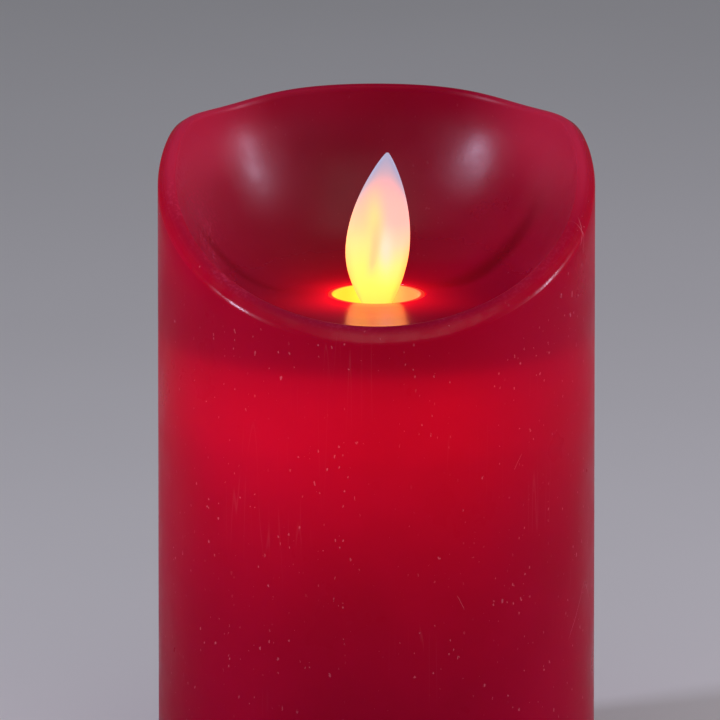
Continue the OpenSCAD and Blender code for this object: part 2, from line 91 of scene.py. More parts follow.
def make_camera():
    """The camera looks along +Y and down on the bowl, through a long lens."""
    forward = Vector((0, math.cos(CAM_ELEVATION), -math.sin(CAM_ELEVATION)))
    up = Vector((0, math.sin(CAM_ELEVATION), math.cos(CAM_ELEVATION)))
    aim = Vector((VIEW_SIDE, 0, FLOOR_Z)) - up * VIEW_DROP
    data = bpy.data.cameras.new("camera")
    data.lens = data.sensor_width / FRAME_WIDTH * CAM_DISTANCE
    data.clip_start = 0.01
    data.clip_end = 60
    camera = bpy.data.objects.new("camera", data)
    camera.location = aim - forward * CAM_DISTANCE
    camera.rotation_mode = "QUATERNION"
    camera.rotation_quaternion = forward.to_track_quat("-Z", "Y")
    bpy.context.scene.collection.objects.link(camera)
    bpy.context.scene.camera = camera


def area_light(name, azimuth, elevation, distance, width, height, power, colour):
    """A soft box that faces the bowl. Azimuth 0 is in front and 90 to the right."""
    a, e = math.radians(azimuth), math.radians(elevation)
    out = Vector((math.sin(a) * math.cos(e), -math.cos(a) * math.cos(e), math.sin(e)))
    data = bpy.data.lights.new(name, "AREA")
    data.shape = "RECTANGLE"
    data.size = width
    data.size_y = height
    data.energy = power
    data.color = colour
    light = bpy.data.objects.new(name, data)
    light.location = Vector((0, 0, FLOOR_Z)) + out * distance
    light.rotation_mode = "QUATERNION"
    light.rotation_quaternion = (-out).to_track_quat("-Z", "Y")
    light.visible_camera = False
    bpy.context.scene.collection.objects.link(light)


def make_lights():
    area_light("light_right", 86, 20, 0.9, 0.07, 0.34, 3.7, (0.84, 0.74, 1.0))
    area_light("light_left", -66, 24, 0.9, 0.12, 0.26, 3.8, (0.76, 0.72, 1.0))
    area_light("light_top", 10, 60, 1.0, 1.0, 1.0, 2.2, (1.0, 0.98, 0.96))
    world = bpy.data.worlds.new("studio")
    world.use_nodes = True
    background = world.node_tree.nodes["Background"]
    background.inputs["Color"].default_value = (0.82, 0.88, 1.0, 1)
    background.inputs["Strength"].default_value = 0.11
    bpy.context.scene.world = world


# ---- Material helpers -------------------------------------------------------

E = 2.718


class Nodes:
    """Short names for building a node tree."""

    def __init__(self, name):
        self.material = bpy.data.materials.new(name)
        self.material.use_nodes = True
        self.tree = self.material.node_tree
        self.shader = self.tree.nodes["Principled BSDF"]

    def node(self, kind, **settings):
        made = self.tree.nodes.new(kind)
        for key, value in settings.items():
            setattr(made, key, value)
        return made

    def link(self, source, target):
        self.tree.links.new(source, target)

    def set(self, **values):
        """Plain values on the shader's own sockets, named with _ for a space."""
        for key, value in values.items():
            self.shader.inputs[key.replace("_", " ")].default_value = value

    def put(self, key, source):
        self.link(source, self.shader.inputs[key])

    def math(self, operation, *values):
        made = self.node("ShaderNodeMath", operation=operation)
        for socket, value in zip(made.inputs, values):
            if isinstance(value, (int, float)):
                socket.default_value = value
            else:
                self.link(value, socket)
        return made.outputs[0]

    def product(self, first, *others):
        for other in others:
            first = self.math("MULTIPLY", first, other)
        return first

    def length(self, a, b):
        """The length of the flat vector (a, b)."""
        return self.math("SQRT", self.math("ADD", self.math("POWER", a, 2), self.math("POWER", b, 2)))

    def decay(self, source, reach):
        """1 at nothing, and falling by a factor of e over each reach."""
        return self.math("POWER", E, self.math("MULTIPLY", source, -1 / reach))

    def position(self):
        return self.node("ShaderNodeTexCoord").outputs["Object"]

    def xyz(self):
        made = self.node("ShaderNodeSeparateXYZ")
        self.link(self.position(), made.inputs[0])
        return made.outputs

    def noise(self, scale, detail=3.0, roughness=0.5, stretch=None, turn=(0, 0, 0)):
        """Noise at this scale in the object's own coordinates, and stretched if asked."""
        mapping = self.node("ShaderNodeMapping")
        mapping.inputs["Rotation"].default_value = turn
        mapping.inputs["Scale"].default_value = stretch or (1, 1, 1)
        self.link(self.position(), mapping.inputs["Vector"])
        made = self.node("ShaderNodeTexNoise")
        made.inputs["Scale"].default_value = scale
        made.inputs["Detail"].default_value = detail
        made.inputs["Roughness"].default_value = roughness
        self.link(mapping.outputs[0], made.inputs["Vector"])
        return made.outputs["Fac"]

    def ramp(self, source, stops, smooth=True):
        """A colour ramp. Each stop is a position and a colour or a single number."""
        made = self.node("ShaderNodeValToRGB")
        ramp = made.color_ramp
        ramp.interpolation = "EASE" if smooth else "LINEAR"
        while len(ramp.elements) < len(stops):
            ramp.elements.new(0.5)
        for element, (place, colour) in zip(ramp.elements, stops):
            element.position = place
            if isinstance(colour, (int, float)):
                colour = (colour,) * 3
            element.color = (*colour, 1)
        self.link(source, made.inputs[0])
        return made.outputs[0]

    def rise(self, source, low, high, to_low=0.0, to_high=1.0):
        """Smooth step of a value between two places."""
        made = self.node("ShaderNodeMapRange", interpolation_type="SMOOTHSTEP")
        self.link(source, made.inputs[0])
        for key, value in zip((1, 2, 3, 4), (low, high, to_low, to_high)):
            made.inputs[key].default_value = value
        return made.outputs[0]

    def curve(self, source, low, high, points):
        """A value read off a curve through the points, over low to high."""
        place = self.node("ShaderNodeMapRange")
        self.link(source, place.inputs[0])
        place.inputs[1].default_value = low
        place.inputs[2].default_value = high
        made = self.node("ShaderNodeFloatCurve")
        curve = made.mapping.curves[0]
        while len(curve.points) < len(points):
            curve.points.new(0.5, 0.5)
        for point, (x, y) in zip(curve.points, points):
            point.location = (x, y)
        made.mapping.update()
        self.link(place.outputs[0], made.inputs["Value"])
        return made.outputs[0]

    def mix(self, factor, a, b, blend="MIX"):
        made = self.node("ShaderNodeMix", data_type="RGBA", blend_type=blend)
        sockets = (made.inputs[0], made.inputs[6], made.inputs[7])
        for socket, value in zip(sockets, (factor, a, b)):
            if isinstance(value, tuple):
                socket.default_value = (*value, 1)
            elif isinstance(value, (int, float)):
                socket.default_value = value
            else:
                self.link(value, socket)
        return made.outputs[2]

    def bump(self, height, strength, distance, before=None):
        made = self.node("ShaderNodeBump")
        made.inputs["Strength"].default_value = strength
        made.inputs["Distance"].default_value = distance
        self.link(height, made.inputs["Height"])
        if before is not None:
            self.link(before, made.inputs["Normal"])
        return made.outputs[0]


def moulded(name, colour, roughness, grain=900, depth=0.00004, spread=0.25):
    """Moulded plastic or rubber: faint colour drift, fine grain and uneven gloss."""
    m = Nodes(name)
    drift = m.noise(60, 4)
    grains = m.noise(grain, 2)
    dark = tuple(c * (1 - spread) for c in colour)
    light = tuple(min(1, c * (1 + spread)) for c in colour)
    m.put("Base Color", m.ramp(drift, [(0.3, dark), (0.7, light)]))
    m.put("Roughness", m.rise(grains, 0.3, 0.7, roughness - 0.07, roughness + 0.08))
    m.put("Normal", m.bump(grains, 0.4, depth))
    return m.material


def metal(name, colour, roughness, stretch=(1, 1, 1), scale=800):
    """Bare or plated metal with fine drawn lines and a little tarnish."""
    m = Nodes(name)
    lines = m.noise(scale, 3, 0.6, stretch)
    tarnish = m.noise(90, 4)
    dull = tuple(c * 0.72 for c in colour)
    m.put("Base Color", m.ramp(tarnish, [(0.25, dull), (0.65, colour)]))
    m.put("Roughness", m.rise(lines, 0.25, 0.75, roughness - 0.08, roughness + 0.14))
    m.put("Normal", m.bump(lines, 0.25, 0.00003))
    m.set(Metallic=1.0)
    return m.material


# ---- Wax ---------------------------------------------------------------------

WAX_DEEP = (0.32, 0.0005, 0.020)
WAX_BASE = (0.39, 0.0008, 0.026)
WAX_BOWL_SHADE = (0.24, 0.0006, 0.022)
WAX_SCUFF = (0.80, 0.24, 0.32)
WAX_DUST_AND_DAYLIGHT = (0.52, 0.040, 0.100)
GLOW = (1.0, 0.003, 0.009)

# The glow of the wall from the table (0) to a little above the hollow's top (1).
WALL_GLOW_REACH = HOLLOW_TOP + 5 * MM
WALL_GLOW = [
    (0, 0.0), (0.22, 0.03), (0.36, 0.13), (0.5, 0.30), (0.62, 0.52), (0.74, 0.82),
    (0.83, 1.0), (0.90, 0.86), (0.945, 0.42), (0.965, 0.30), (1.0, 0.25),
]
HALO_REACH = 4.6 * MM
HAIR_WEIGHT = 0.07
STROKE_WEIGHT = 0.6
BOWL_FLOOR_ROUGHNESS = 0.16
RIM_EDGE_ROUGHNESS = 0.20
BOWL_SPECULAR = 0.34
WALL_SPECULAR = BOWL_SPECULAR - 0.295

# Longer scratches as (start, end, width), each place as (distance round the wall, height) in mm.
SCRATCHES = [
    ((50.5, 43), (42.5, 33), 0.07), ((50.5, 43), (55, 37), 0.06),
    ((49, 104), (50.5, 113), 0.09), ((47.5, 106), (52, 111), 0.08),
    ((15, 46), (16.5, 43), 0.05), ((27, 68), (29, 71), 0.05),
    ((120, 60), (112, 52), 0.07), ((-95, 80), (-90, 66), 0.07),
]


def specks(m, scale, size, turn=0.0):
    """Small crumpled specks scattered over a surface, 1 inside a speck."""
    mapping = m.node("ShaderNodeMapping")
    mapping.inputs["Rotation"].default_value = (turn, turn * 0.7, turn * 1.3)
    mapping.inputs["Scale"].default_value = (1, 1, 0.6)
    m.link(m.position(), mapping.inputs["Vector"])
    crumple = m.node("ShaderNodeTexNoise")
    crumple.inputs["Scale"].default_value = 3.2 * scale
    m.link(mapping.outputs[0], crumple.inputs["Vector"])
    shift = m.node("ShaderNodeVectorMath", operation="SCALE")
    m.link(crumple.outputs["Color"], shift.inputs[0])
    shift.inputs["Scale"].default_value = 0.5 / scale
    moved = m.node("ShaderNodeVectorMath", operation="ADD")
    m.link(mapping.outputs[0], moved.inputs[0])
    m.link(shift.outputs[0], moved.inputs[1])
    cells = m.node("ShaderNodeTexVoronoi")
    cells.inputs["Scale"].default_value = scale
    m.link(moved.outputs[0], cells.inputs["Vector"])
    chosen = m.node("ShaderNodeSeparateColor")
    m.link(cells.outputs["Color"], chosen.inputs[0])
    some = m.rise(chosen.outputs[0], 0.50, 0.56)
    near = m.math("LESS_THAN", cells.outputs["Distance"], m.product(chosen.outputs[1], size))
    return m.product(some, near)


def hairs(m, flat, scale, turn, thin):
    """Long thin scratches that run one way over the unrolled wall."""
    mapping = m.node("ShaderNodeMapping")
    mapping.inputs["Rotation"].default_value = (0, 0, math.radians(turn))
    mapping.inputs["Scale"].default_value = (1, 0.04, 1)
    m.link(flat, mapping.inputs["Vector"])
    made = m.node("ShaderNodeTexNoise")
    made.inputs["Scale"].default_value = scale
    made.inputs["Detail"].default_value = 1.0
    m.link(mapping.outputs[0], made.inputs["Vector"])
    off = m.math("ABSOLUTE", m.math("SUBTRACT", made.outputs["Fac"], 0.5))
    line = m.rise(off, 0.0, thin, 1.0, 0.0)
    patch = m.noise(45, 2.0, 0.5, None, (turn, turn, 0))
    return m.product(line, m.rise(patch, 0.60, 0.68))


def stroke(m, u, v, start, end, width):
    """One straight scratch between two places on the unrolled wall, in mm."""
    (u0, v0), (u1, v1) = start, end
    length = math.hypot(u1 - u0, v1 - v0)
    du, dv = (u1 - u0) / length, (v1 - v0) / length
    pu = m.math("SUBTRACT", u, u0 * MM)
    pv = m.math("SUBTRACT", v, v0 * MM)
    along = m.math("ADD", m.product(pu, du), m.product(pv, dv))
    off = m.math("ADD", m.product(pu, -dv), m.product(pv, du))
    bend = m.product(m.math("SUBTRACT", m.noise(160, 2), 0.5), 0.8 * MM)
    off = m.math("ABSOLUTE", m.math("ADD", off, bend))
    return m.product(
        m.rise(along, 0, 0.1 * length * MM),
        m.rise(along, 0.8 * length * MM, length * MM, 1.0, 0.0),
        m.rise(off, 0.3 * width * MM, width * MM, 1.0, 0.0),
    )


def wax_wall_glow(m, x, y, z, outside):
    """The hollow's light through the wall: a sharp top edge, a long fade down, and darker sides."""
    cloud = m.rise(m.noise(34, 3), 0.25, 0.75, 0.94, 1.06)
    return m.product(
        m.curve(z, 0, WALL_GLOW_REACH, WALL_GLOW), outside, cloud,
        m.rise(y, -CANDLE_R, 2 * MM, 0.375, 0.10), m.rise(x, 12 * MM, 30 * MM, 1.0, 0.70),
    )


def wax_halo_and_reflection(m, x, y, above, across):
    """The light round the hole in the bowl's floor, strongest in front and on the left; the extra in front
    is partly a painted reflection of the flame on the floor.
    """
    far = m.length(m.math("SUBTRACT", across, HOLE_R), above)
    return m.product(m.decay(far, HALO_REACH), m.rise(y, -16 * MM, 0, 1.6, 0.60),
                     m.rise(x, -12 * MM, 10 * MM, 1.35, 0.88))


def wax_thin_edges(m, y, z, side, above, across, inside, high):
    """Daylight through the bowl's thin side walls and the rim's band."""
    walls = m.product(m.rise(side, 12 * MM, 38 * MM), 0.045, inside, m.rise(above, -1 * MM, 6 * MM))
    band = m.product(
        m.rise(across, RIM_IN_R - 1 * MM, RIM_IN_R + 0.6 * MM),
        m.rise(z, FLOOR_Z + 0.5 * MM, FLOOR_Z + 12 * MM),
        m.rise(y, -5 * MM, 25 * MM, 0.085, 0.03),
        m.rise(across, CANDLE_R - 0.05 * MM, CANDLE_R, 1.0, 0.35),
    )
    return m.math("ADD", m.math("MAXIMUM", walls, band), m.product(high, 0.06))


def wax_marks(m, x, y, z, outside):
    """Scratches and specks, most of them on the outer wall."""
    around = m.product(m.math("ARCTAN2", x, m.product(y, -1)), CANDLE_R)
    unrolled = m.node("ShaderNodeCombineXYZ")
    m.link(around, unrolled.inputs[0])
    m.link(z, unrolled.inputs[1])
    flat = unrolled.outputs[0]
    scratch = m.math("MAXIMUM", hairs(m, flat, 260, 24, 0.006), hairs(m, flat, 230, -38, 0.006))
    scratch = m.product(m.math("MAXIMUM", scratch, hairs(m, flat, 240, 71, 0.005)), HAIR_WEIGHT)
    for start, end, width in SCRATCHES:
        line = m.product(stroke(m, around, z, start, end, width), STROKE_WEIGHT)
        scratch = m.math("MAXIMUM", scratch, line)
    spots = m.math("MAXIMUM", specks(m, 1100, 0.19), specks(m, 640, 0.15, 0.8))
    spots = m.math("MAXIMUM", spots, specks(m, 300, 0.085, 1.7))
    spots = m.product(spots, m.rise(m.noise(90, 4), 0.42, 0.58, 0.10, 0.55))
    share = m.math("ADD", m.product(outside, 0.58), 0.17)
    return m.product(m.math("MAXIMUM", scratch, spots), share)


def wax_dust_and_daylight(m, x, y, across, inside):
    """Dust on the slope just inside the rim, with painted daylight that makes the band strongest on the
    left, and a film of painted light on the bowl's left.
    """
    grit = m.rise(m.noise(1500, 2), 0.50, 0.62)
    patch = m.math("ADD", 0.25, m.product(m.rise(m.noise(60, 4), 0.4, 0.65), 0.45))
    dust_and_daylight = m.product(
        m.rise(across, 24 * MM, 31 * MM), inside,
        m.product(patch, m.rise(x, -30 * MM, 20 * MM, 1.0, 0.5)),
        m.math("ADD", 0.35, m.product(grit, 0.65)),
        m.rise(y, 2 * MM, 18 * MM, 1.0, 0.1),
    )
    # Painted light: the left of the bowl is made paler.
    painted_left_light = m.product(inside, m.rise(x, -18 * MM, 4 * MM, 0.16, 0.0))
    return m.math("MAXIMUM", dust_and_daylight, painted_left_light)


def wax_shine(m, above, across, outside, dust_and_daylight, marks):
    """Uneven gloss: smoothest on the bowl's floor and the rim's outer edge, dull on the outer wall."""
    wall_gloss = m.rise(m.noise(55, 4, 0.6), 0.3, 0.7, 0.26, 0.40)
    bowl_floor = m.product(m.rise(above, -2 * MM, 8 * MM, 1.0, 0.0),
                           m.rise(across, 29 * MM, 33 * MM, 1.0, 0.0))
    slope_gloss = m.math("ADD", m.rise(m.noise(120, 3), 0.3, 0.7, 0.27, 0.36), m.product(dust_and_daylight, 0.3))
    bowl_gloss = m.mix(bowl_floor, slope_gloss, (BOWL_FLOOR_ROUGHNESS,) * 3)
    edge = m.product(m.rise(across, CANDLE_R - 1.6 * MM, CANDLE_R - 0.6 * MM),
                     m.rise(across, CANDLE_R - 0.12 * MM, CANDLE_R - 0.02 * MM, 1.0, 0.0))
    rough = m.mix(edge, m.mix(outside, bowl_gloss, wall_gloss), (RIM_EDGE_ROUGHNESS,) * 3)
    m.put("Roughness", m.math("ADD", rough, m.product(marks, 0.4)))

    outer = m.rise(across, RIM_IN_R - 1 * MM, RIM_IN_R + 0.4 * MM)
    worn = m.rise(m.noise(200, 4, 0.7), 0.35, 0.6, 0.06, 0.32)
    shine = m.math("SUBTRACT", BOWL_SPECULAR, m.product(outer, BOWL_SPECULAR - WALL_SPECULAR))
    m.put("Specular IOR Level", m.math("ADD", shine, m.product(edge, worn)))


def wax_material():
    """Dyed wax that glows with the light inside it."""
    m = Nodes("red_wax")
    x, y, z = m.xyz()
    side = m.math("ABSOLUTE", x)
    above = m.math("SUBTRACT", z, FLOOR_Z)
    across = m.length(x, y)
    outside = m.rise(across, CANDLE_R - 2.2 * MM, CANDLE_R - 0.5 * MM)
    inside = m.math("SUBTRACT", 1.0, outside)
    # The top of each side wall is the thinnest; the daylight through it is painted as a paler base colour
    # and a little glow.
    high = m.product(m.rise(z, FLOOR_Z + 12 * MM, FLOOR_Z + 25 * MM),
                     m.rise(side, 13 * MM, 31 * MM), inside)

    lit = m.math("ADD", wax_halo_and_reflection(m, x, y, above, across),
                 wax_thin_edges(m, y, z, side, above, across, inside, high))
    m.set(Emission_Color=(*GLOW, 1))
    m.put("Emission Strength", m.math("ADD", wax_wall_glow(m, x, y, z, outside), lit))

    marks = wax_marks(m, x, y, z, outside)
    dust_and_daylight = wax_dust_and_daylight(m, x, y, across, inside)
    base = m.ramp(m.noise(26, 5, 0.55), [(0.3, WAX_DEEP), (0.72, WAX_BASE)])
    # Painted shade: the base is darker on the inner surfaces.
    base = m.mix(m.product(inside, 0.5), base, WAX_BOWL_SHADE)
    # Dust, painted daylight on the bowl's left and painted daylight through the side walls' tops make the
    # base paler.
    base = m.mix(m.math("MAXIMUM", dust_and_daylight, m.product(high, 0.6)), base, WAX_DUST_AND_DAYLIGHT)
    m.put("Base Color", m.mix(marks, base, WAX_SCUFF))
    wax_shine(m, above, across, outside, dust_and_daylight, marks)

    ripple = m.bump(m.noise(70, 2), 0.25, 0.0004)
    fine = m.bump(m.noise(700, 3), 0.18, 0.00006, ripple)
    m.put("Normal", m.bump(marks, 0.5, 0.00008, fine))
    m.set(
        Subsurface_Weight=0.35,
        Subsurface_Radius=(1.0, 0.12, 0.10),
        Subsurface_Scale=0.004,
        IOR=1.45,
    )
    return m.material


def back_share(a):
    """Share of the way from the front (0) to the back (1) at angle a."""
    return (1 - math.cos(a)) / 2


def rim_out(a):
    """Height of the rim's outer edge above the floor, as in the CAD: a slope that bends to nearly level."""
    u = back_share(a)
    sloping = RIM_SLOPE * u
    level = RIM_LEVEL + (1 - RIM_LEVEL) * u
    low = -RIM_BEND * math.log(math.exp(-sloping / RIM_BEND) + math.exp(-level / RIM_BEND))
    side = abs(math.degrees(a)) % 360
    side = 360 - side if side > 180 else side
    dip = SHOULDER_DIP * math.exp(-(((side - SHOULDER_AT) / SHOULDER_SPREAD) ** 2))
    return RIM_FRONT + RIM_RISE * low - dip


def rim_in(a):
    """Height of the rim's inner edge above the floor. The band tilts outwards, most of all in front."""
    u = back_share(a)
    return rim_out(a) + RIM_TILT_FRONT + (RIM_TILT_BACK - RIM_TILT_FRONT) * u


def wax_profile(a):
    """(radius, height) pairs from the hole's bottom edge over the bowl and rim to the hollow's mouth."""
    u = back_share(a)
    flat_r = (12 + 14 * (1 - u) ** 1.5) * MM
    top, edge = rim_in(a), rim_out(a)
    crown = top + RIM_CROWN
    roundness = 0.95 - 0.42 * u
    lip = HOLE_LIP
    points = [(HOLE_R, HOLLOW_TOP)]
    points += [(HOLE_R, FLOOR_Z - lip * k) for k in (6, 3, 1.6)]
    for k in range(1, 6):
        turn = math.pi / 2 * k / 5
        points.append((HOLE_R + lip * (1 - math.cos(turn)), FLOOR_Z - lip * (1 - math.sin(turn))))
    for k in range(1, 7):
        points.append((HOLE_R + lip + (flat_r - HOLE_R - lip) * k / 6, FLOOR_Z))
    slope_steps = 34
    for k in range(1, slope_steps + 1):
        t = math.sin(math.pi / 2 * k / slope_steps)
        rise = top * (1 - (1 - t * t) ** roundness)
        points.append((flat_r + (RIM_IN_R - flat_r) * t, FLOOR_Z + rise))
    fall = crown - edge
    band = [
        (0.15, top + 0.45 * RIM_CROWN), (0.35, top + 0.75 * RIM_CROWN),
        (0.6, top + 0.93 * RIM_CROWN), (0.9, crown), (1.3, crown - 0.07 * fall),
        (1.7, crown - 0.18 * fall), (2.1, crown - 0.34 * fall),
        (2.5, edge + 0.46 * fall), (2.8, edge + 0.27 * fall),
        (3.05, edge + 0.12 * fall + 0.1 * MM), (3.22, edge - 0.1 * MM),
    ]
    points += [(RIM_IN_R + r * MM, FLOOR_Z + h) for r, h in band]
    start = FLOOR_Z + edge - 0.45 * MM
    foot = WAX_FOOT + 0.8 * MM
    points.append((CANDLE_R, start))
    wall_steps = 24
    for k in range(1, wall_steps + 1):
        points.append((CANDLE_R, start + (foot - start) * k / wall_steps))
    points += [
        (CANDLE_R - 0.25 * MM, WAX_FOOT + 0.25 * MM), (CANDLE_R - 0.8 * MM, WAX_FOOT),
        (HOLLOW_R + 0.3 * MM, WAX_FOOT), (HOLLOW_R, WAX_FOOT + 0.3 * MM),
        (HOLLOW_R, WAX_FOOT + 30 * MM), (HOLLOW_R, HOLLOW_TOP - 20 * MM),
        (HOLLOW_R, HOLLOW_TOP - 0.5 * MM), (HOLLOW_R - 0.5 * MM, HOLLOW_TOP),
        (HOLLOW_R - 8 * MM, HOLLOW_TOP), (HOLE_R + 6 * MM, HOLLOW_TOP),
    ]
    return points


def make_mesh(name, points, faces, material):
    """A smooth-shaded object with its faces turned outwards."""
    mesh = bpy.data.meshes.new(name)
    mesh.from_pydata(points, [], faces)
    turned = bmesh.new()
    turned.from_mesh(mesh)
    bmesh.ops.recalc_face_normals(turned, faces=turned.faces)
    turned.to_mesh(mesh)
    turned.free()
    mesh.materials.append(material)
    for polygon in mesh.polygons:
        polygon.use_smooth = True
    made = bpy.data.objects.new(name, mesh)
    bpy.context.scene.collection.objects.link(made)
    return made


def make_wax():
    """The wax as one closed skin, from its profile at each angle round the candle."""
    steps = 240
    points, faces = [], []
    for i in range(steps):
        a = 2 * math.pi * i / steps
        profile = wax_profile(a)
        count = len(profile)
        for r, z in profile:
            points.append((r * math.sin(a), -r * math.cos(a), z))
    for i in range(steps):
        k = (i + 1) % steps
        for j in range(count):
            n = (j + 1) % count
            faces.append((i * count + j, i * count + n, k * count + n, k * count + j))
    wax = make_mesh("wax_body", points, faces, wax_material())
    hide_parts("wax_shell")
    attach(wax, "candle_body")


# ---- Flame -------------------------------------------------------------------

FLAME_TOP = leaf_hi.z
LEAF_HALF = 5.85 * MM
LEAF_T = 1.0 * MM
LEAF_LEAN = 2.0 * MM
LEAN_Z = FLOOR_Z + 4 * MM
NECK_HALF = 2.3 * MM
NECK_REACH = 11 * MM
DISH_R = 14 * MM
DISH_REACH = 6 * MM
BELLY_Z = FLOOR_Z + 8.4 * MM
MAGNET_TOP = PIVOT_Z - 12.2 * MM
MAGNET_SEAT_R = 3.03 * MM
CUP_R = 3.8 * MM
CUP_LOW = MAGNET_TOP - 2.5 * MM
CUP_HIGH = MAGNET_TOP + 1.5 * MM


def leaf_half(z):
    """Half width of the leaf at height z, as in the CAD."""
    if z > BELLY_Z:
        share = (z - BELLY_Z) / (FLAME_TOP + 0.1 * MM - BELLY_Z)
        return LEAF_HALF * math.cos(math.pi / 2 * share) ** 0.79
    share = min(1.0, (BELLY_Z - z) / NECK_REACH)
    return NECK_HALF + (LEAF_HALF - NECK_HALF) * math.cos(math.pi / 2 * share) ** 0.85


def leaf_lean(z):
    """How far the middle of the leaf has moved to +X at height z, as in the CAD."""
    return LEAF_LEAN * (max(0.0, z - LEAN_Z) / (FLAME_TOP - LEAN_Z)) ** 1.35


LEAF_LIGHT = 0.94
LEAF_DIM = 0.36
LEAF_LOW = PIVOT_Z - 16 * MM
LEAF_SPAN = FLAME_TOP - LEAF_LOW


def leaf_share(height):
    """Share of the way up the leaf's material at a height in mm above the bowl's floor."""
    return (FLOOR_Z + height * MM - LEAF_LOW) / LEAF_SPAN


def leaf_ramp(m, place, stops):
    """The leaf's painted light up one side, dim far below the floor. Below the floor both sides share the
    same ones.
    """
    deep = [(0.0, (0.10, 0.07, 0.01)), (leaf_share(-13), (0.55, 0.42, 0.04)),
            (leaf_share(-4), (0.95, 0.72, 0.05))]
    stops = [(leaf_share(height), colour) for height, colour in stops]
    return m.ramp(place, deep + stops, smooth=False)


def leaf_spot(m, x, z, middle, reach):
    """A soft oval on the leaf, from its middle and its reach as (x, height) in mm."""
    up = m.math("DIVIDE", m.math("SUBTRACT", z, FLOOR_Z + middle[1] * MM), reach[1] * MM)
    out = m.math("DIVIDE", m.math("SUBTRACT", x, middle[0] * MM), reach[0] * MM)
    return m.decay(m.math("ADD", m.math("POWER", up, 2), m.math("POWER", out, 2)), 1.0)


def flame_material():
    """White plastic lit from the front and below: yellow low down, pale pink above, dull at the tip."""
    m = Nodes("flame_leaf_plastic")
    x, _, z = m.xyz()
    place = m.node("ShaderNodeMapRange")
    m.link(z, place.inputs[0])
    place.inputs[1].default_value = LEAF_LOW
    place.inputs[2].default_value = FLAME_TOP
    left = leaf_ramp(m, place.outputs[0], [
        (1, (1.0, 0.98, 0.07)), (5, (1.0, 0.98, 0.12)), (9, (0.98, 0.90, 0.21)),
        (13, (0.95, 0.68, 0.27)), (17, (0.94, 0.54, 0.33)), (20.5, (0.94, 0.46, 0.36)),
        (26, (0.80, 0.44, 0.40)),
    ])
    right = leaf_ramp(m, place.outputs[0], [
        (1, (1.0, 1.0, 0.08)), (5, (1.0, 0.98, 0.22)), (9, (0.98, 0.74, 0.42)),
        (13, (0.95, 0.56, 0.44)), (17, (0.94, 0.52, 0.42)), (20.5, (0.94, 0.46, 0.40)),
        (26, (0.80, 0.44, 0.42)),
    ])
    drift = m.noise(90, 3, 0.5, (1, 1, 0.35))
    where = m.math("ADD", x, m.product(m.math("SUBTRACT", drift, 0.5), 2.0 * MM))
    colour = m.mix(m.rise(where, -1.6 * MM, 2.6 * MM), left, right)

    # The upper diode's hot spot is a little left of the middle, and a paler patch of painted light is right
    # of it.
    hot = leaf_spot(m, x, z, (-0.3, 13.5), (1.5, 4.6))
    colour = m.mix(m.product(hot, 0.75), colour, (0.98, 0.84, 0.20))
    pale = leaf_spot(m, x, z, (1.7, 8.3), (1.3, 3.4))
    colour = m.mix(m.product(pale, 0.8), colour, (0.98, 0.86, 0.60))

    # A faint shadow beside the middle, where the fold turns away from one diode.
    slant = m.product(m.math("SUBTRACT", z, FLOOR_Z + 2 * MM), 0.16)
    line = m.math("ADD", where, m.math("SUBTRACT", 1.3 * MM, slant))
    shade = m.product(
        m.rise(m.math("ABSOLUTE", line), 0.0, 1.5 * MM, 1.0, 0.0),
        m.rise(z, FLOOR_Z + 2 * MM, FLOOR_Z + 6 * MM),
        m.rise(z, FLOOR_Z + 9 * MM, FLOOR_Z + 16 * MM, 1.0, 0.0),
    )
    colour = m.mix(m.product(shade, 0.7), colour, (0.95, 0.60, 0.22))

    # Edges: pale lilac daylight above, orange below.
    places = 12
    heights = [(k / places, LEAF_LOW + LEAF_SPAN * k / places) for k in range(places + 1)]
    half = m.curve(z, LEAF_LOW, FLAME_TOP, [(k, leaf_half(h) / LEAF_HALF) for k, h in heights])
    lean = m.curve(z, LEAF_LOW, FLAME_TOP, [(k, leaf_lean(h) / LEAF_LEAN) for k, h in heights])
    off = m.math("ABSOLUTE", m.math("SUBTRACT", x, m.product(lean, LEAF_LEAN)))
    to_edge = m.math("DIVIDE", off, m.product(m.math("MAXIMUM", half, 0.08), LEAF_HALF))
    bent = m.product(m.math("POWER", to_edge, 3), 4.2 * MM)
    reach = m.math("ADD", m.math("SUBTRACT", z, FLOOR_Z), bent)
    colour = m.mix(m.rise(reach, 18.5 * MM, 27 * MM), colour, (0.36, 0.36, 0.52))
    orange = m.product(m.rise(to_edge, 0.72, 1.0), m.rise(z, FLOOR_Z + 4 * MM, FLOOR_Z + 13 * MM, 0.55, 0.0))
    colour = m.mix(orange, colour, (1.0, 0.52, 0.07))

    # The light is really orange: red is past white low down, so it shows only in what it lights.
    tint = m.node("ShaderNodeCombineColor")
    m.link(m.rise(reach, 12 * MM, 23.5 * MM, 1.0, 0.38), tint.inputs[0])
    tint.inputs[1].default_value = LEAF_DIM
    tint.inputs[2].default_value = LEAF_DIM
    m.put("Emission Color", m.mix(1.0, colour, tint.outputs[0], "MULTIPLY"))
    m.set(Emission_Strength=LEAF_LIGHT / LEAF_DIM)
    grain = m.noise(500, 3)
    m.put("Base Color", m.ramp(m.noise(60, 3), [(0.3, (0.16, 0.17, 0.22)), (0.7, (0.20, 0.21, 0.26))]))
    m.put("Roughness", m.rise(grain, 0.3, 0.7, 0.38, 0.52))
    m.put("Normal", m.bump(grain, 0.15, 0.00003))
    m.set(Subsurface_Weight=0.2, Subsurface_Radius=(1.0, 0.8, 0.5), Subsurface_Scale=0.001)
    return m.material


def ring_faces(rings, count):
    """Faces between closed rings of count points each."""
    faces = []
    for i in range(rings - 1):
        for j in range(count):
            n = (j + 1) % count
            faces.append((i * count + j, i * count + n, (i + 1) * count + n, (i + 1) * count + j))
    return faces


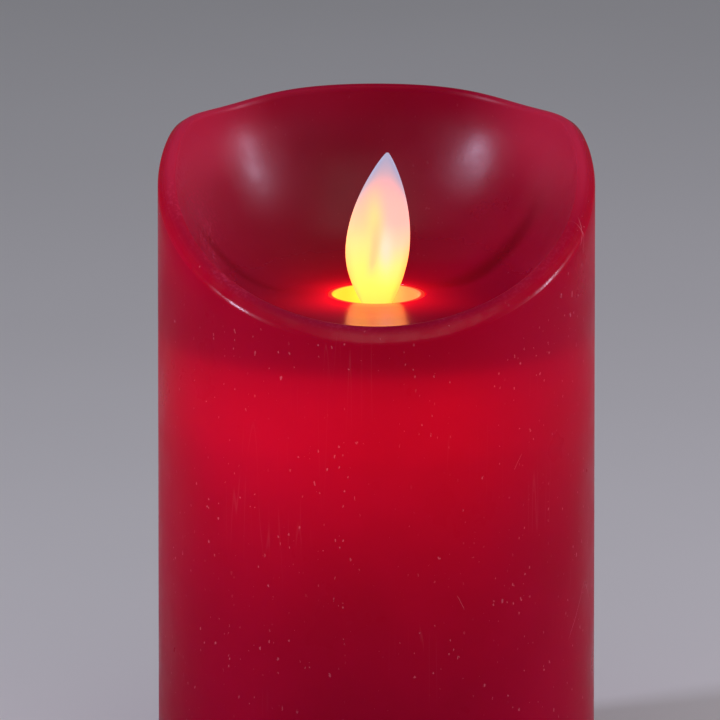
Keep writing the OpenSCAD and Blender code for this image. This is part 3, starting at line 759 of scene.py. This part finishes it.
def make_leaf():
    """Dished leaf with rounded edges, its neck and tail, and the cup that holds the magnet."""
    points = []
    around = 40
    stations = 90
    tail_z = CUP_HIGH - 0.4 * MM
    for i in range(stations + 1):
        share = i / stations
        z = tail_z + (FLAME_TOP - 0.05 * MM - tail_z) * math.sin(math.pi / 2 * share)
        half = max(leaf_half(z), 0.12 * MM) if z > PIVOT_Z else NECK_HALF
        if abs(z - PIVOT_Z) < 1.6 * MM:
            half = NECK_HALF
        thick = LEAF_T / 2 * min(1.0, (FLAME_TOP - z) / (1.5 * MM) + 0.25)
        if z < PIVOT_Z + 2 * MM:
            thick *= 1.0 + 0.35 * min(1.0, (PIVOT_Z + 2 * MM - z) / (1 * MM))
        centre = leaf_lean(z)
        for j in range(around):
            a = 2 * math.pi * j / around
            ca, sa = math.cos(a), math.sin(a)
            x = centre + half * math.copysign(abs(ca) ** 0.55, ca)
            bend = 0.0
            if z > PIVOT_Z:
                bend = DISH_R - math.sqrt(DISH_R ** 2 - (x - centre) ** 2)
                bend *= min(1.0, (z - PIVOT_Z) / DISH_REACH)
            points.append((x, bend + thick * math.copysign(abs(sa) ** 0.8, sa), z))
    faces = ring_faces(stations + 1, around)
    faces.append(tuple(reversed(range(around))))
    faces.append(tuple(stations * around + j for j in range(around)))
    leaf = make_mesh("flame_leaf_blade", points, faces, flame_material())

    profile = [(0, CUP_HIGH), (CUP_R - 0.3 * MM, CUP_HIGH), (CUP_R, CUP_HIGH - 0.3 * MM),
               (CUP_R, CUP_LOW + 0.2 * MM), (CUP_R - 0.2 * MM, CUP_LOW),
               (3.1 * MM, CUP_LOW), (MAGNET_SEAT_R, CUP_LOW + 0.2 * MM), (MAGNET_SEAT_R, MAGNET_TOP),
               (0, MAGNET_TOP)]
    cup = lathe("flame_leaf_cup", profile, 48, leaf.data.materials[0])
    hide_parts("flame_leaf")
    for piece in (leaf, cup):
        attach(piece, "flame")


def lathe(name, profile, steps, material):
    """A surface turned round Z from (radius, height) pairs. Ends on the axis close to a point."""
    mesh = bmesh.new()
    turn = 2 * math.pi / steps
    rings = []
    for r, z in profile:
        if r == 0:
            rings.append([mesh.verts.new((0, 0, z))])
            continue
        rings.append([
            mesh.verts.new((r * math.cos(turn * k), r * math.sin(turn * k), z)) for k in range(steps)
        ])
    for low, high in zip(rings, rings[1:]):
        for k in range(steps):
            n = (k + 1) % steps
            corners = [low[k % len(low)], low[n % len(low)], high[n % len(high)], high[k % len(high)]]
            mesh.faces.new(list(dict.fromkeys(corners)))
    bmesh.ops.recalc_face_normals(mesh, faces=mesh.faces)
    data = bpy.data.meshes.new(name)
    mesh.to_mesh(data)
    mesh.free()
    data.materials.append(material)
    for polygon in data.polygons:
        polygon.use_smooth = True
    made = bpy.data.objects.new(name, data)
    bpy.context.scene.collection.objects.link(made)
    return made


def collar_material():
    """White funnel lit from inside: yellow on the left, peach on the right, red at its top edge."""
    m = Nodes("collar_plastic")
    x, y, z = m.xyz()
    bore = m.rise(m.length(x, y), 7.95 * MM, 8.35 * MM, 1.0, 0.0)
    grain = m.noise(300, 3)
    left_right = m.ramp(m.rise(x, -8 * MM, 8 * MM), [
        (0.0, (1.0, 0.36, 0.015)), (0.3, (1.0, 0.52, 0.03)), (0.62, (1.0, 0.36, 0.03)),
        (1.0, (1.0, 0.13, 0.045)),
    ])
    m.put("Emission Color", m.mix(bore, (0.42, 0.02, 0.01), left_right))
    m.put("Emission Strength", m.rise(z, collar_lo.z, collar_hi.z - 2 * MM, 0.9, 1.85))
    # The base colour is painted warm with the light from inside, and darker red in the bore as painted
    # shade.
    base = m.ramp(m.noise(80, 3), [(0.3, (0.34, 0.20, 0.08)), (0.7, (0.42, 0.26, 0.11))])
    m.put("Base Color", m.mix(bore, (0.20, 0.02, 0.008), base))
    m.set(Specular_IOR_Level=0.25)
    m.put("Roughness", m.rise(grain, 0.3, 0.7, 0.30, 0.42))
    m.put("Normal", m.bump(grain, 0.15, 0.00003))
    return m.material


def glowing(name, colour, light, strength, roughness=0.35):
    """Plastic or epoxy that light passes through, a little uneven."""
    m = Nodes(name)
    drift = m.noise(120, 3)
    m.put("Base Color", m.ramp(drift, [(0.3, tuple(c * 0.85 for c in colour)), (0.7, colour)]))
    m.put("Roughness", m.rise(m.noise(700, 2), 0.3, 0.7, roughness - 0.06, roughness + 0.08))
    m.set(Emission_Color=(*light, 1))
    m.put("Emission Strength", m.rise(drift, 0.2, 0.8, strength * 0.85, strength * 1.15))
    return m.material


def board_material():
    """Solder mask with lighter tracks and bare pads."""
    m = Nodes("board_mask")
    bricks = m.node("ShaderNodeTexBrick")
    m.link(m.position(), bricks.inputs["Vector"])
    bricks.inputs["Scale"].default_value = 160
    bricks.inputs["Mortar Size"].default_value = 0.03
    bricks.inputs["Color1"].default_value = (0.012, 0.13, 0.055, 1)
    bricks.inputs["Color2"].default_value = (0.016, 0.17, 0.070, 1)
    bricks.inputs["Mortar"].default_value = (0.035, 0.27, 0.12, 1)
    m.put("Base Color", bricks.outputs["Color"])
    m.put("Roughness", m.rise(m.noise(200, 3), 0.3, 0.7, 0.24, 0.38))
    m.put("Normal", m.bump(bricks.outputs["Fac"], 0.3, 0.00003))
    return m.material


def winding_material():
    """Turns of enamelled wire, one fine line for each turn."""
    m = Nodes("winding_copper")
    z = m.xyz()[2]
    turns = m.math("SINE", m.product(z, 2 * math.pi / (0.25 * MM)))
    m.put("Base Color", m.ramp(m.rise(turns, -1, 1), [(0.1, (0.20, 0.06, 0.02)), (0.8, (0.72, 0.30, 0.11))]))
    m.put("Roughness", m.rise(m.noise(300, 3), 0.3, 0.7, 0.25, 0.42))
    m.put("Normal", m.bump(turns, 0.6, 0.00008))
    m.set(Metallic=1.0)
    return m.material


CELL_HALF = 25 * MM


def cell_material(name, way):
    """Black jacket with a copper band at the nub's end and bare metal ends. The nub points to way * X."""
    m = Nodes(name)
    place = m.node("ShaderNodeMapRange")
    m.link(m.product(m.xyz()[0], way), place.inputs[0])
    place.inputs[1].default_value = -CELL_HALF
    place.inputs[2].default_value = CELL_HALF
    bands = m.ramp(
        place.outputs[0],
        [(0.0, (0.60, 0.60, 0.62)), (0.035, (0.60, 0.60, 0.62)), (0.04, (0.025, 0.025, 0.03)),
         (0.70, (0.025, 0.025, 0.03)), (0.705, (0.50, 0.24, 0.09)), (0.965, (0.50, 0.24, 0.09)),
         (0.97, (0.62, 0.62, 0.64))],
        smooth=False,
    )
    wear = m.rise(m.noise(140, 4), 0.35, 0.7, 0.0, 0.10)
    m.put("Base Color", m.mix(wear, bands, (0.30, 0.30, 0.31)))
    m.put("Roughness", m.rise(m.noise(200, 3), 0.3, 0.7, 0.22, 0.36))
    m.set(Metallic=0.75, Coat_Weight=0.4, Coat_Roughness=0.15)
    return m.material


def finish_cad_nodes():
    """Gives every CAD node that stays its own procedural material."""
    black = moulded("base_black", (0.022, 0.022, 0.024), 0.46, 1100, 0.00005)
    dark = moulded("inner_black", (0.05, 0.05, 0.055), 0.5)
    ivory = glowing("column_ivory", (0.80, 0.76, 0.66), (1.0, 0.45, 0.12), 0.10, 0.45)
    screw = metal("zinc_screws", (0.62, 0.62, 0.64), 0.30)
    nickel = metal("contact_nickel", (0.74, 0.71, 0.64), 0.28, (1, 1, 0.1))
    copper = metal("lead_copper", (0.72, 0.34, 0.14), 0.3)
    epoxy = glowing("led_epoxy", (0.85, 0.72, 0.45), (1.0, 0.66, 0.18), 2.2, 0.12)
    finishes = {
        "flame_collar": collar_material(),
        "flame_magnet": metal("magnet_nickel", (0.72, 0.72, 0.74), 0.18),
        "pivot_wire": metal("wire_steel", (0.6, 0.6, 0.62), 0.25, (1, 0.05, 1)),
        "column_front": ivory, "column_rear": ivory,
        "column_screws": screw, "deck_screws": screw, "board_screws": screw, "base_screws": screw,
        "coil_bobbin": dark, "coil_winding": winding_material(), "led_bracket": dark,
        "led_left": epoxy, "led_right": epoxy,
        "base_housing": black, "battery_tray": black, "base_plate": black, "battery_door": black,
        "circuit_board": board_material(),
        "control_chip": moulded("chip_black", (0.02, 0.02, 0.022), 0.42),
        "capacitor": moulded("capacitor_sleeve", (0.03, 0.05, 0.17), 0.28),
        "resistors": moulded("resistor_body", (0.50, 0.38, 0.25), 0.5),
        "battery_front": cell_material("cell_front", 1), "battery_rear": cell_material("cell_rear", -1),
        "positive_contact": nickel, "negative_contact": nickel, "bridge_contact": nickel,
        "feet": moulded("foot_rubber", (0.045, 0.045, 0.047), 0.78, 1500, 0.00008),
        "switch_housing": metal("switch_shell", (0.45, 0.45, 0.46), 0.35),
        "switch_knob": moulded("knob_plastic", (0.62, 0.62, 0.60), 0.42),
        "battery_lead_red": moulded("lead_red", (0.50, 0.02, 0.02), 0.42),
        "battery_lead_black": moulded("lead_black", (0.02, 0.02, 0.02), 0.42),
        "switch_leads": moulded("lead_grey", (0.38, 0.38, 0.38), 0.45),
        "coil_leads": copper,
        "led_leads": moulded("lead_white", (0.74, 0.72, 0.66), 0.45),
    }
    for name, material in finishes.items():
        node = nodes[name]
        node.data.materials.clear()
        node.data.materials.append(material)


def make_floor():
    """Plain pale floor, wide enough for the long lens at low angles."""
    m = Nodes("floor_paint")
    drift = m.noise(3, 4)
    m.put("Base Color", m.ramp(drift, [(0.3, (0.80, 0.81, 0.74)), (0.7, (0.84, 0.85, 0.78))]))
    m.set(Roughness=0.85)
    reach = 12
    floor = make_mesh(
        "floor", [(-reach, -reach, 0), (reach, -reach, 0), (reach, reach, 0), (-reach, reach, 0)],
        [(0, 1, 2, 3)], m.material,
    )


bpy.context.scene.view_settings.view_transform = "Standard"
make_camera()
make_lights()
make_floor()
make_wax()
make_leaf()
finish_cad_nodes()
